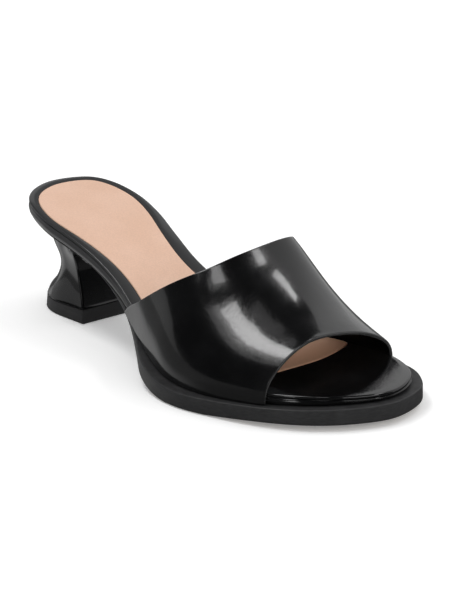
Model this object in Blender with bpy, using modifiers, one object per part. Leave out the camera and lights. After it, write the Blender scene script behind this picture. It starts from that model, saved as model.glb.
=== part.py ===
"""Right-foot slide sandal with an hourglass heel, as six separate pieces.

Metres, +Z up, toe towards +X, inner (big toe) side towards +Y, outer side towards -Y.
The origin is on the floor under the middle of the shoe's box.

Places along the shoe are shares of LENGTH, from 0 at the heel's back to 1 at the toe's tip.
Breadths are shares of BALL_BREADTH, measured from the line through the heel's back.
Heights are shares of SEAT_HEIGHT, and those of the arches are shares of INSTEP_HEIGHT.
"""

import math
from collections import namedtuple

import bmesh
import bpy
import numpy as np

# Driving sizes
LENGTH = 0.250
BALL_BREADTH = 0.0857
SEAT_HEIGHT = 0.0575
INSTEP_HEIGHT = 0.0665
GAP = 0.0003

# Footbed: a plain band, a groove above it and a round rim above the groove
FOOTBED_BACK = 0.000
FOOTBED_BACK_SIDE = 0.033
FOOTBED_TIP = 0.982
FOOTBED_TIP_SIDE = 0.095
BAND_ROUND = 0.0012
RIM_HEIGHT = 0.0011
RIM_ROUND = 0.0009
GROOVE_DEPTH = 0.0006
GROOVE_WIDTH = 0.0007

# Sock: the lining in the footbed's recess. Its front edge bends back towards the inner side.
SOCK_THICKNESS = 0.0010
SOCK_RECESS = 0.0010
SOCK_ROUND = 0.0005
SOCK_FRONT = 0.769
SOCK_BEND_FROM = 0.035
SOCK_BEND = 0.252
SOCK_SIDE_BLEND = 0.004

# Outsole: cut straight across at its back, round along its lower edge
OUTSOLE_BACK = 0.290
OUTSOLE_TIP_SIDE = 0.070
EDGE_ROUND_TOP = 0.0006
EDGE_ROUND_BOTTOM = 0.0013
LOW_EDGE_RISE = 0.0005

# Upper: a wall of one thickness with softened edges
WALL = 0.0018
WALL_EDGE_ROUND = 0.0005
COLLAR_FOOT_SET_BACK = 0.0040
SIDE_CROWDING = 0.045

# Heel block and the top piece under it
LIFT_HEIGHT = 0.0060
WEDGE_THICKNESS = 0.0008
SEAT_INSET = 0.0011
HEEL_CORNER = 0.0008
OUTER_ROUNDNESS = 2.2
INNER_ROUNDNESS = 3.4
OUTER_WIDEST = 0.56
INNER_WIDEST = 0.36
SEAT_CROWDING = 0.85

# How finely the surfaces are divided
DENSE_POINTS = 2400
FOOTBED_STATIONS = 54
OUTSOLE_STATIONS = 36
UPPER_ROWS = 19
UPPER_COLUMNS = 33
HEEL_BACK_POINTS = 12
HEEL_SIDE_POINTS = 7

Outline = namedtuple("Outline", "along outer inner")
Rise = namedtuple("Rise", "along height")
Band = namedtuple("Band", "along thickness")
Inset = namedtuple("Inset", "along outer inner")
Arch = namedtuple("Arch", "along crown ridge side_fullness top_fullness")
Edge = namedtuple("Edge", "turn along")
Block = namedtuple("Block", "height back front outer inner outer_front inner_front seat_share")

# The footbed from above
FOOTBED_PLAN = (
    Outline(0.020, -0.144, 0.256),
    Outline(0.060, -0.252, 0.328),
    Outline(0.140, -0.323, 0.350),
    Outline(0.220, -0.336, 0.308),
    Outline(0.300, -0.340, 0.246),
    Outline(0.380, -0.358, 0.210),
    Outline(0.460, -0.414, 0.236),
    Outline(0.540, -0.488, 0.322),
    Outline(0.620, -0.541, 0.417),
    Outline(0.700, -0.541, 0.458),
    Outline(0.780, -0.495, 0.472),
    Outline(0.860, -0.405, 0.449),
    Outline(0.940, -0.202, 0.342),
)

# The footbed's top, heel to toe
FOOTBED_RISE = (
    Rise(0.00, 1.000),
    Rise(0.08, 0.953),
    Rise(0.16, 0.897),
    Rise(0.24, 0.833),
    Rise(0.32, 0.736),
    Rise(0.40, 0.598),
    Rise(0.48, 0.450),
    Rise(0.56, 0.308),
    Rise(0.64, 0.235),
    Rise(0.72, 0.229),
    Rise(0.80, 0.242),
    Rise(0.88, 0.252),
    Rise(0.94, 0.249),
    Rise(1.00, 0.240),
)

# The footbed's whole thickness, in metres
FOOTBED_BAND = (
    Band(0.00, 0.0062),
    Band(0.44, 0.0061),
    Band(0.56, 0.0058),
    Band(0.64, 0.0053),
    Band(0.80, 0.0052),
    Band(0.88, 0.0048),
    Band(0.94, 0.0040),
    Band(1.00, 0.0031),
)

# How far the sock's edge lies inside the footbed's edge, in metres
SOCK_INSET = (
    Inset(0.00, 0.0057, 0.0057),
    Inset(0.12, 0.0035, 0.0047),
    Inset(0.40, 0.0067, 0.0079),
    Inset(0.60, 0.0065, 0.0055),
    Inset(0.74, 0.0062, 0.0018),
    Inset(1.00, 0.0060, 0.0018),
)

# The outsole from above, at the top of its edge
OUTSOLE_PLAN = (
    Outline(0.230, -0.324, 0.283),
    Outline(0.292, -0.328, 0.235),
    Outline(0.360, -0.346, 0.206),
    Outline(0.440, -0.408, 0.224),
    Outline(0.500, -0.494, 0.300),
    Outline(0.540, -0.562, 0.376),
    Outline(0.580, -0.604, 0.428),
    Outline(0.620, -0.628, 0.490),
    Outline(0.660, -0.636, 0.526),
    Outline(0.700, -0.626, 0.545),
    Outline(0.760, -0.580, 0.552),
    Outline(0.820, -0.524, 0.542),
    Outline(0.880, -0.440, 0.510),
    Outline(0.930, -0.330, 0.436),
    Outline(0.972, -0.170, 0.325),
)

# The outsole's underside. Where its height is 0 it stands on the floor.
OUTSOLE_UNDERSIDE = (
    Rise(0.290, 0.652),
    Rise(0.320, 0.606),
    Rise(0.360, 0.529),
    Rise(0.400, 0.449),
    Rise(0.430, 0.372),
    Rise(0.460, 0.296),
    Rise(0.500, 0.177),
    Rise(0.540, 0.080),
    Rise(0.580, 0.032),
    Rise(0.610, 0.010),
    Rise(0.640, 0.000),
    Rise(0.740, 0.000),
    Rise(0.780, 0.014),
    Rise(0.840, 0.031),
    Rise(0.900, 0.040),
    Rise(1.000, 0.044),
)

# Arches over the foot. The crown is the arch's highest point and the ridge is its place across
# the shoe. The arches behind the collar's top only lead its edge down to the ledge. Fullness 2
# is an ellipse, and less is flatter.
ARCHES = (
    Arch(0.42, 1.087, -0.036, 2.20, 2.00),
    Arch(0.48, 1.192, 0.006, 2.14, 1.97),
    Arch(0.56, 1.186, 0.054, 2.06, 1.93),
    Arch(0.62, 1.113, 0.091, 2.00, 1.90),
    Arch(0.68, 0.893, 0.106, 1.92, 1.82),
    Arch(0.76, 0.681, 0.026, 1.82, 1.72),
    Arch(0.86, 0.531, -0.140, 1.70, 1.60),
)

# The upper's edges, by the turn round the arch in degrees, from the outer side over the top
COLLAR = (
    Edge(0, 0.444),
    Edge(20, 0.526),
    Edge(45, 0.622),
    Edge(70, 0.655),
    Edge(90, 0.659),
    Edge(110, 0.649),
    Edge(135, 0.607),
    Edge(160, 0.524),
    Edge(180, 0.437),
)
TOE_OPENING = (
    Edge(0, 0.852),
    Edge(45, 0.860),
    Edge(90, 0.862),
    Edge(135, 0.848),
    Edge(180, 0.832),
)

# Sections of the heel block, floor to seat. The breast runs from outer_front to inner_front.
# seat_share says how far a section already slopes as the seat does.
HEEL_BLOCK = (
    Block(0.000, 0.0232, 0.1970, -0.202, 0.257, -0.196, 0.175, 0.00),
    Block(0.104, 0.0256, 0.1864, -0.191, 0.242, -0.173, 0.153, 0.00),
    Block(0.183, 0.0332, 0.1780, -0.171, 0.215, -0.159, 0.138, 0.00),
    Block(0.261, 0.0520, 0.1698, -0.154, 0.187, -0.148, 0.126, 0.00),
    Block(0.339, 0.0625, 0.1632, -0.140, 0.166, -0.142, 0.119, 0.00),
    Block(0.417, 0.0672, 0.1586, -0.134, 0.156, -0.142, 0.117, 0.00),
    Block(0.496, 0.0643, 0.1580, -0.141, 0.164, -0.153, 0.126, 0.00),
    Block(0.562, 0.0553, 0.1624, -0.155, 0.187, -0.175, 0.150, 0.05),
    Block(0.609, 0.0465, 0.1728, -0.163, 0.213, -0.200, 0.178, 0.12),
    Block(0.655, 0.0355, 0.1868, -0.172, 0.240, -0.234, 0.222, 0.25),
    Block(0.716, 0.0213, 0.2120, -0.202, 0.288, -0.300, 0.284, 0.45),
    Block(0.759, 0.0110, 0.2440, -0.245, 0.317, -0.321, 0.277, 0.80),
)


def smooth(places, values):
    """A smooth curve through the values as a function. It keeps the end values beyond the ends."""
    places = np.asarray(places, float)
    values = np.asarray(values, float)
    slopes = np.gradient(values, places)

    def at(place):
        place = np.clip(place, places[0], places[-1])
        i = np.clip(np.searchsorted(places, place, side="right") - 1, 0, len(places) - 2)
        width = places[i + 1] - places[i]
        t = (place - places[i]) / width
        near = (1 + 2 * t) * (1 - t) ** 2 * values[i] + t * (1 - t) ** 2 * width * slopes[i]
        far = t * t * (3 - 2 * t) * values[i + 1] + t * t * (t - 1) * width * slopes[i + 1]
        return near + far

    return at


def by_length(rows, name, scale=1.0):
    """One column of a table as a smooth function of the place along the shoe in metres."""
    return smooth([row.along * LENGTH for row in rows], [getattr(row, name) * scale for row in rows])


def plan(rows, back, tip):
    """The dense closed outline of a table: outer side forwards, tip, inner side back to the heel."""
    points = [(row.along * LENGTH, row.outer * BALL_BREADTH) for row in rows]
    points += [(tip[0] * LENGTH, tip[1] * BALL_BREADTH)]
    points += [(row.along * LENGTH, row.inner * BALL_BREADTH) for row in reversed(rows)]
    points += [(back[0] * LENGTH, back[1] * BALL_BREADTH)]
    looped = np.array(points[-3:] + points + points[:3])
    run = np.concatenate([[0.0], np.cumsum(np.sqrt(np.hypot(*np.diff(looped, axis=0).T)))])
    places = np.linspace(run[3], run[3 + len(points)], DENSE_POINTS, endpoint=False)
    curve = np.stack([smooth(run, looped[:, 0])(places), smooth(run, looped[:, 1])(places)], axis=1)
    return np.roll(curve, -curve[:, 0].argmin(), axis=0)


def widened(curve, distance):
    """The outline, moved out by a distance at each of its points."""
    along = np.roll(curve, -1, axis=0) - np.roll(curve, 1, axis=0)
    along /= np.linalg.norm(along, axis=1)[:, None]
    outwards = np.stack([along[:, 1], -along[:, 0]], axis=1)
    return curve + outwards * np.reshape(distance, (-1, 1))


def sides(curve):
    """The outer and the inner side of an outline as functions of the place along the shoe."""
    curve = np.roll(curve, -curve[:, 0].argmin(), axis=0)
    tip = curve[:, 0].argmax()
    outer = curve[: tip + 1]
    inner = np.concatenate([curve[tip:], curve[:1]])[::-1]
    return (
        lambda x: float(np.interp(x, outer[:, 0], outer[:, 1])),
        lambda x: float(np.interp(x, inner[:, 0], inner[:, 1])),
    )


def stations(curve, places):
    """Indices round an outline at the places: outer side forwards, inner side back."""
    tip = curve[:, 0].argmax()
    outer = [int(np.abs(curve[: tip + 1, 0] - x).argmin()) for x in places]
    inner = [int(tip + np.abs(curve[tip:, 0] - x).argmin()) for x in places]
    return outer + inner[::-1]


footbed_top = by_length(FOOTBED_RISE, "height", SEAT_HEIGHT)
footbed_thickness = by_length(FOOTBED_BAND, "thickness")
underside_curve = by_length(OUTSOLE_UNDERSIDE, "height", SEAT_HEIGHT)


def footbed_underside(x):
    return footbed_top(x) - footbed_thickness(x)


def outsole_underside(x):
    """The sole's lower face, which no part of the curve takes below the floor."""
    return max(float(underside_curve(x)), 0.0)


def outsole_top(x):
    return footbed_underside(x) - GAP


def seat(x):
    """The top of the heel block, close under the footbed."""
    return footbed_underside(x) - GAP


FOOTBED_EDGE = plan(FOOTBED_PLAN, (FOOTBED_BACK, FOOTBED_BACK_SIDE), (FOOTBED_TIP, FOOTBED_TIP_SIDE))
OUTSOLE_EDGE = plan(OUTSOLE_PLAN, (0.200, -0.010), (1.000, OUTSOLE_TIP_SIDE))
OUTER_EDGE_OF_UPPER, INNER_EDGE_OF_UPPER = sides(widened(FOOTBED_EDGE, GAP + WALL))
MIDDLE_ALONG = (FOOTBED_EDGE[:, 0].min() + OUTSOLE_EDGE[:, 0].max()) / 2
MIDDLE_ACROSS = (OUTSOLE_EDGE[:, 1].min() + OUTSOLE_EDGE[:, 1].max()) / 2


def material(name, colour, roughness):
    made = bpy.data.materials.new(name)
    made.use_nodes = True
    shader = made.node_tree.nodes["Principled BSDF"]
    shader.inputs["Base Color"].default_value = (*colour, 1.0)
    shader.inputs["Roughness"].default_value = roughness
    shader.inputs["Metallic"].default_value = 0.0
    return made


def finished(name, bm, finish, collection):
    """An object of this mesh with its faces outwards, placed over the middle of the shoe's box."""
    bmesh.ops.remove_doubles(bm, verts=bm.verts, dist=1e-6)
    bmesh.ops.recalc_face_normals(bm, faces=bm.faces)
    bmesh.ops.translate(bm, verts=bm.verts, vec=(-MIDDLE_ALONG, -MIDDLE_ACROSS, 0.0))
    mesh = bpy.data.meshes.new(name)
    bm.to_mesh(mesh)
    bm.free()
    mesh.materials.append(finish)
    mesh.shade_smooth()
    mesh.set_sharp_from_angle(angle=math.radians(35))
    made = bpy.data.objects.new(name, mesh)
    collection.objects.link(made)
    return made


def rungs(bm, ring, low, high):
    """Faces from side to side between the two runs of a ring, from indices low and high inwards."""
    while high - low > 2:
        bm.faces.new((ring[low], ring[low + 1], ring[high - 1], ring[high]))
        low += 1
        high -= 1
    if high - low == 2:
        bm.faces.new((ring[low], ring[low + 1], ring[high]))


def loft(rings, starts_at_point):
    """A closed body through rings of equal counts. Its two ends are closed from side to side."""
    bm = bmesh.new()
    laid = [[bm.verts.new(point) for point in ring] for ring in rings]
    for lower, higher in zip(laid, laid[1:]):
        for i in range(len(lower)):
            j = (i + 1) % len(lower)
            bm.faces.new((lower[i], lower[j], higher[j], higher[i]))
    for ring in (laid[0], laid[-1]):
        last = len(ring) - 1
        if starts_at_point:
            bm.faces.new((ring[0], ring[1], ring[last]))
            rungs(bm, ring, 1, last)
        else:
            rungs(bm, ring, 0, last)
    return bm


def footbed_stations():
    """Indices round the footbed's outline, closer together at the heel's back and the toe's tip."""
    turns = np.linspace(0.0, math.pi, FOOTBED_STATIONS + 1)
    places = FOOTBED_EDGE[:, 0].max() * (1 - np.cos(turns)) / 2
    picked = stations(FOOTBED_EDGE, places)
    return picked[: FOOTBED_STATIONS + 1] + picked[FOOTBED_STATIONS + 2 : -1]


def ring_on(curve, picked, height):
    """A ring of the outline's picked points at the height that height gives for each place."""
    return [(x, y, float(height(x))) for x, y in curve[picked]]


def footbed(finish, collection):
    """The wrapped insole board with the sock's recess in its top."""
    picked = footbed_stations()
    groove = RIM_HEIGHT + GROOVE_WIDTH / 2
    layers = (
        (-BAND_ROUND, footbed_underside),
        (-0.3 * BAND_ROUND, lambda x: footbed_underside(x) + 0.4 * BAND_ROUND),
        (0.0, lambda x: footbed_underside(x) + 1.2 * BAND_ROUND),
        (0.0, lambda x: footbed_top(x) - RIM_HEIGHT - GROOVE_WIDTH),
        (-GROOVE_DEPTH, lambda x: footbed_top(x) - groove),
        (0.0, lambda x: footbed_top(x) - RIM_HEIGHT),
        (-0.25 * RIM_ROUND, lambda x: footbed_top(x) - 0.3 * RIM_ROUND),
        (-RIM_ROUND, footbed_top),
    )
    rings = [ring_on(widened(FOOTBED_EDGE, out), picked, height) for out, height in layers]
    recess = widened(sock_edge(), GAP)
    rings.append(ring_on(recess, picked, footbed_top))
    rings.append(ring_on(recess, picked, lambda x: footbed_top(x) - SOCK_RECESS))
    return finished("footbed", loft(rings, True), finish, collection)


def sock_front(y):
    """The place of the sock's front edge along the shoe, at places across it."""
    bend = np.maximum(y / BALL_BREADTH - SOCK_BEND_FROM, 0.0)
    return LENGTH * (SOCK_FRONT - SOCK_BEND * bend**2)


def sock_edge():
    """The footbed's outline moved in, and cut off in front by the sock's bent front edge."""
    x, y = FOOTBED_EDGE.T
    inner_share = 1 / (1 + np.exp(-(y - FOOTBED_BACK_SIDE * BALL_BREADTH) / SOCK_SIDE_BLEND))
    outer_inset = by_length(SOCK_INSET, "outer")(x)
    inner_inset = by_length(SOCK_INSET, "inner")(x)
    curve = widened(FOOTBED_EDGE, -outer_inset * (1 - inner_share) - inner_inset * inner_share)
    beyond = np.flatnonzero(curve[:, 0] > sock_front(curve[:, 1]))
    curve[beyond, 1] = np.linspace(curve[beyond[0], 1], curve[beyond[-1], 1], len(beyond))
    curve[beyond, 0] = sock_front(curve[beyond, 1])
    return curve


def sock(finish, collection):
    """The lining, with a softened upper edge."""
    picked = footbed_stations()
    edge = sock_edge()

    def underside(x):
        return footbed_top(x) - SOCK_RECESS + GAP

    def face(x):
        return underside(x) + SOCK_THICKNESS

    layers = (
        (0.0, underside),
        (0.0, lambda x: face(x) - 0.8 * SOCK_ROUND),
        (-0.3 * SOCK_ROUND, lambda x: face(x) - 0.3 * SOCK_ROUND),
        (-SOCK_ROUND, face),
    )
    rings = [ring_on(widened(edge, out), picked, height) for out, height in layers]
    return finished("sock", loft(rings, True), finish, collection)


def outsole(finish, collection):
    """The sole, whose edge stands out round the upper as a ledge."""
    back = OUTSOLE_BACK * LENGTH + GAP
    tip = OUTSOLE_EDGE[:, 0].max()
    places = back + (tip - back) * np.sin(np.linspace(0.0, math.pi / 2, OUTSOLE_STATIONS))
    picked = stations(OUTSOLE_EDGE, places)
    picked.remove(picked[OUTSOLE_STATIONS])

    def thickness(x):
        return outsole_top(x) - outsole_underside(x)

    layers = (
        (-EDGE_ROUND_BOTTOM, outsole_underside),
        (-0.3 * EDGE_ROUND_BOTTOM, lambda x: outsole_underside(x) + min(LOW_EDGE_RISE, 0.2 * thickness(x))),
        (0.0, lambda x: outsole_underside(x) + min(EDGE_ROUND_BOTTOM, 0.5 * thickness(x))),
        (0.0, lambda x: outsole_top(x) - min(EDGE_ROUND_TOP, 0.3 * thickness(x))),
        (-EDGE_ROUND_TOP, outsole_top),
    )
    rings = []
    for out, height in layers:
        ring = ring_on(widened(OUTSOLE_EDGE, out), picked, height)
        for end in (0, -1):
            ring[end] = (back, ring[end][1], float(height(back)))
        rings.append(ring)
    return finished("outsole", loft(rings, False), finish, collection)


arch_crown = by_length(ARCHES, "crown", INSTEP_HEIGHT)
arch_ridge = by_length(ARCHES, "ridge", BALL_BREADTH)
arch_side_fullness = by_length(ARCHES, "side_fullness")
arch_top_fullness = by_length(ARCHES, "top_fullness")
collar_place = smooth([math.radians(e.turn) for e in COLLAR], [e.along * LENGTH for e in COLLAR])
toe_place = smooth([math.radians(e.turn) for e in TOE_OPENING], [e.along * LENGTH for e in TOE_OPENING])


def arch_point(x, turn):
    """A point of the arch over the foot, by its place along the shoe and the turn round it."""
    ridge = arch_ridge(x)
    edge = OUTER_EDGE_OF_UPPER(x) if math.cos(turn) > 0 else INNER_EDGE_OF_UPPER(x)
    rim = footbed_top(x)
    across = abs(math.cos(turn)) ** (2 / arch_side_fullness(x))
    up = abs(math.sin(turn)) ** (2 / arch_top_fullness(x))
    return x, ridge + (edge - ridge) * across, rim + (arch_crown(x) - rim) * up


def foot_of_upper(turn, edge_of_upper):
    """The line where the upper stands on the ledge. It starts behind the collar above it."""
    start = float(collar_place(turn)) - COLLAR_FOOT_SET_BACK
    places = np.linspace(start, float(toe_place(turn)), UPPER_ROWS)
    return [(x, edge_of_upper(x), float(outsole_top(x)) + GAP) for x in places]


def upper(finish, collection):
    """The one wide band over the foot, open at the collar, at the toe and underneath."""
    even = np.linspace(0.0, 1.0, UPPER_COLUMNS)
    columns = [foot_of_upper(0.0, OUTER_EDGE_OF_UPPER)]
    for turn in math.pi * (even - SIDE_CROWDING * np.sin(2 * math.pi * even)):
        places = np.linspace(float(collar_place(turn)), float(toe_place(turn)), UPPER_ROWS)
        columns.append([arch_point(x, turn) for x in places])
    columns.append(foot_of_upper(math.pi, INNER_EDGE_OF_UPPER))
    bm = bmesh.new()
    laid = [[bm.verts.new(point) for point in line] for line in columns]
    for line, following in zip(laid, laid[1:]):
        for i in range(UPPER_ROWS - 1):
            bm.faces.new((line[i], line[i + 1], following[i + 1], following[i]))
    made = finished("upper", bm, finish, collection)
    wall = made.modifiers.new("wall", "SOLIDIFY")
    wall.thickness = WALL
    wall.offset = -1.0
    wall.use_even_offset = True
    soft_edges = made.modifiers.new("soft edges", "BEVEL")
    soft_edges.width = WALL_EDGE_ROUND
    soft_edges.segments = 1
    soft_edges.limit_method = "ANGLE"
    soft_edges.angle_limit = math.radians(60)
    return made


def block_side(row, edge, front, widest, roundness):
    """One side of a heel section: round from the back to the widest place, then on to the breast."""
    back_side = FOOTBED_BACK_SIDE * BALL_BREADTH
    wide_at = row.back + widest * (row.front - row.back)
    points = []
    for turn in np.linspace(0.0, math.pi / 2, HEEL_BACK_POINTS):
        x = wide_at - (wide_at - row.back) * math.cos(turn)
        y = back_side + (edge - back_side) * math.sin(turn) ** (2 / roundness)
        points.append((x, y))
    for share in np.linspace(0.0, 1.0, HEEL_SIDE_POINTS)[1:]:
        x = wide_at + (row.front - HEEL_CORNER - wide_at) * share
        points.append((x, edge + (front - edge) * share * share * (2 - share)))
    points.append((row.front, front - math.copysign(HEEL_CORNER, front)))
    return points


def block_ring(row):
    """A heel section with its heights, which slope with the seat as far as seat_share says."""
    outer = block_side(row, row.outer, row.outer_front, OUTER_WIDEST, OUTER_ROUNDNESS)
    inner = block_side(row, row.inner, row.inner_front, INNER_WIDEST, INNER_ROUNDNESS)
    middle = seat(OUTSOLE_BACK * LENGTH / 2)
    plan_points = outer + inner[:0:-1]
    return [(x, y, row.height + row.seat_share * float(seat(x) - middle)) for x, y in plan_points]


def seat_ring(drop):
    """The heel's outline at the seat, just inside the footbed's, lowered by a drop."""
    outer, inner = sides(widened(FOOTBED_EDGE, -SEAT_INSET))
    front = OUTSOLE_BACK * LENGTH
    count = HEEL_BACK_POINTS + HEEL_SIDE_POINTS
    turns = np.linspace(0.0, math.pi / 2, count)
    places = SEAT_INSET + (front - SEAT_INSET) * (1 - np.cos(turns)) ** SEAT_CROWDING
    ring = [(x, outer(x)) for x in places]
    ring += [(x, inner(x)) for x in places[:0:-1]]
    return [(x, y, float(seat(x)) - drop) for x, y in ring]


def sized(row):
    """A row of the heel's table in metres."""
    return Block(
        row.height * SEAT_HEIGHT,
        row.back * LENGTH,
        row.front * LENGTH,
        row.outer * BALL_BREADTH,
        row.inner * BALL_BREADTH,
        row.outer_front * BALL_BREADTH,
        row.inner_front * BALL_BREADTH,
        row.seat_share,
    )


def heel(finish, collection):
    """The hourglass block, which ends in front in a thin wedge under the waist."""
    rows = [sized(row) for row in HEEL_BLOCK[1:]]
    rows[0] = rows[0]._replace(height=LIFT_HEIGHT + GAP)
    rings = [block_ring(row) for row in rows] + [seat_ring(WEDGE_THICKNESS), seat_ring(0.0)]
    return finished("heel", loft(rings, True), finish, collection)


def heel_lift(finish, collection):
    """The top piece under the heel, flat on the floor."""
    low, high = sized(HEEL_BLOCK[0]), sized(HEEL_BLOCK[1])
    rings = [block_ring(low), block_ring(high._replace(height=LIFT_HEIGHT))]
    return finished("heel_lift", loft(rings, True), finish, collection)


def build():
    for old in list(bpy.data.objects):
        bpy.data.objects.remove(old, do_unlink=True)
    parts = bpy.data.collections.new("slide_sandal")
    bpy.context.scene.collection.children.link(parts)
    outsole(material("matte black sole edge", (0.030, 0.030, 0.032), 0.55), parts)
    footbed(material("glossy black footbed leather", (0.008, 0.008, 0.009), 0.18), parts)
    sock(material("peach lining leather", (0.799, 0.552, 0.434), 0.60), parts)
    upper(material("glossy black upper leather", (0.008, 0.008, 0.009), 0.14), parts)
    heel(material("glossy black heel", (0.010, 0.010, 0.011), 0.14), parts)
    heel_lift(material("black top piece", (0.020, 0.020, 0.021), 0.60), parts)


build()
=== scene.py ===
"""The finished look of a right-foot slide sandal with an hourglass heel.

Metres, +Z up, toe towards +X, inner (big toe) side towards +Y, outer side towards -Y.
Each piece takes the place of the plain solid of its name and keeps that solid's form, with
the fine curvature, edges and finish of the real one.
"""

import math
from collections import namedtuple

import bmesh
import bpy
import numpy as np
from mathutils import Matrix, Vector


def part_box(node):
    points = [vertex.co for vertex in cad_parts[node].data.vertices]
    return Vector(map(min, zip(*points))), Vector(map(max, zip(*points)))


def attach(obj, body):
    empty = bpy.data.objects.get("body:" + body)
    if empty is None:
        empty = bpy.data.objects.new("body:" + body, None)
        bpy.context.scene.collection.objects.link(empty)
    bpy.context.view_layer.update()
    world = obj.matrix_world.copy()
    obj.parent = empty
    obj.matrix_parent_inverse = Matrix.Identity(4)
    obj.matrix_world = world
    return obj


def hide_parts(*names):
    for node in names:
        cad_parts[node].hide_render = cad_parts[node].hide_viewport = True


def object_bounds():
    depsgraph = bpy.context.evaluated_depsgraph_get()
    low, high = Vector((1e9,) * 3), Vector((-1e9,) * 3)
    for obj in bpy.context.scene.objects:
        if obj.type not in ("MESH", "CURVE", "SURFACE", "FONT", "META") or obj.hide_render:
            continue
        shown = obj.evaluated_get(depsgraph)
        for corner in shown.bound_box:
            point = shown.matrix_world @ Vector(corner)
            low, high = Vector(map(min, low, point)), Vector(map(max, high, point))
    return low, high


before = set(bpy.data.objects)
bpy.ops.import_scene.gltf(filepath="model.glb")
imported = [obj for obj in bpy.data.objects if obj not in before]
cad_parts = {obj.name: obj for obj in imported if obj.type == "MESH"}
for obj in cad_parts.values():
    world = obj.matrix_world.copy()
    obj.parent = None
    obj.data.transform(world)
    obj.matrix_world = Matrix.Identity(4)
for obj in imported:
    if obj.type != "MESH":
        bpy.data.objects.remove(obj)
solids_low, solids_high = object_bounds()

# ---- Sizes ----
# Places along the shoe are shares of LENGTH from the heel's back. Breadths are shares of
# BALL_BREADTH, with 0 near the heel's middle line. Heights are shares of SEAT_HEIGHT, and the
# crowns of the arches are shares of INSTEP_HEIGHT. All other lengths are in metres.
LENGTH = solids_high.x - solids_low.x
BALL_BREADTH = 0.0857
SEAT_HEIGHT = 0.0575
INSTEP_HEIGHT = 0.0665
GAP = 0.0003

FOOTBED_BACK = (0.000, 0.033)
FOOTBED_TIP = (0.982, 0.095)
BAND_ROUND = 0.0012
RIM_HEIGHT = 0.0011
RIM_ROUND = 0.0009
GROOVE_DEPTH = 0.0006
GROOVE_WIDTH = 0.0005
SHOULDER_DROP = 0.0014
SHOULDER_IN = 0.0005

SOCK_THICKNESS = 0.0010
SOCK_RECESS = 0.0010
SOCK_ROUND = 0.0005
SOCK_FRONT = 0.769
SOCK_BEND_FROM = 0.035
SOCK_BEND = 0.252
SOCK_SIDE_BLEND = 0.004

OUTSOLE_BACK = 0.290
OUTSOLE_TIP = (1.000, 0.070)
OUTSOLE_HIDDEN_BACK = (0.200, -0.010)
EDGE_ROUND_TOP = 0.0006
EDGE_ROUND_BOTTOM = 0.0013
TOP_ROUND_SHARE = 0.30
BOTTOM_ROUND_SHARE = 0.45
LEVEL_BELOW = -0.98    # faces that look down more steeply than this are bare leather

WALL = 0.0018
COLLAR_FOOT_SET_BACK = 0.0040

LIFT_HEIGHT = 0.0060
WEDGE_THICKNESS = 0.0008
SEAT_INSET = 0.0011
HEEL_CORNER = 0.0008
OUTER_ROUNDNESS = 2.2
INNER_ROUNDNESS = 3.4
OUTER_WIDEST = 0.56
INNER_WIDEST = 0.36
SEAT_CROWDING = 0.85

Outline = namedtuple("Outline", "along outer inner")
Rise = namedtuple("Rise", "along height")
Band = namedtuple("Band", "along thickness")
Inset = namedtuple("Inset", "along outer inner")
Arch = namedtuple("Arch", "along crown ridge side_fullness top_fullness")
Edge = namedtuple("Edge", "turn along")
Undulation = namedtuple("Undulation", "along across way reach breadth height")
Block = namedtuple("Block", "height back front outer inner outer_front inner_front seat_share")

# The footbed from above
FOOTBED_PLAN = (
    Outline(0.020, -0.144, 0.256),
    Outline(0.060, -0.252, 0.328),
    Outline(0.140, -0.323, 0.350),
    Outline(0.220, -0.336, 0.308),
    Outline(0.300, -0.340, 0.246),
    Outline(0.380, -0.358, 0.210),
    Outline(0.460, -0.414, 0.236),
    Outline(0.540, -0.488, 0.322),
    Outline(0.620, -0.541, 0.417),
    Outline(0.700, -0.541, 0.458),
    Outline(0.780, -0.495, 0.472),
    Outline(0.860, -0.405, 0.449),
    Outline(0.940, -0.202, 0.342),
)

# The footbed's top, heel to toe
FOOTBED_RISE = (
    Rise(0.00, 1.000),
    Rise(0.08, 0.953),
    Rise(0.16, 0.897),
    Rise(0.24, 0.833),
    Rise(0.32, 0.736),
    Rise(0.40, 0.598),
    Rise(0.48, 0.450),
    Rise(0.56, 0.308),
    Rise(0.64, 0.235),
    Rise(0.72, 0.229),
    Rise(0.80, 0.242),
    Rise(0.88, 0.252),
    Rise(0.94, 0.249),
    Rise(1.00, 0.240),
)

# The footbed's whole thickness, in metres
FOOTBED_BAND = (
    Band(0.00, 0.0062),
    Band(0.44, 0.0061),
    Band(0.56, 0.0058),
    Band(0.64, 0.0053),
    Band(0.80, 0.0052),
    Band(0.88, 0.0048),
    Band(0.94, 0.0040),
    Band(1.00, 0.0031),
)

# How far the sock's edge lies inside the footbed's edge, in metres
SOCK_INSET = (
    Inset(0.00, 0.0057, 0.0057),
    Inset(0.12, 0.0035, 0.0047),
    Inset(0.40, 0.0067, 0.0079),
    Inset(0.60, 0.0065, 0.0055),
    Inset(0.74, 0.0062, 0.0018),
    Inset(1.00, 0.0060, 0.0018),
)

# The outsole from above, at the top of its edge
OUTSOLE_PLAN = (
    Outline(0.230, -0.324, 0.283),
    Outline(0.292, -0.328, 0.235),
    Outline(0.360, -0.346, 0.206),
    Outline(0.440, -0.408, 0.224),
    Outline(0.500, -0.494, 0.300),
    Outline(0.540, -0.562, 0.376),
    Outline(0.580, -0.604, 0.428),
    Outline(0.620, -0.628, 0.490),
    Outline(0.660, -0.636, 0.526),
    Outline(0.700, -0.626, 0.545),
    Outline(0.760, -0.580, 0.552),
    Outline(0.820, -0.524, 0.542),
    Outline(0.880, -0.440, 0.510),
    Outline(0.930, -0.330, 0.436),
    Outline(0.972, -0.170, 0.325),
)

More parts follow.
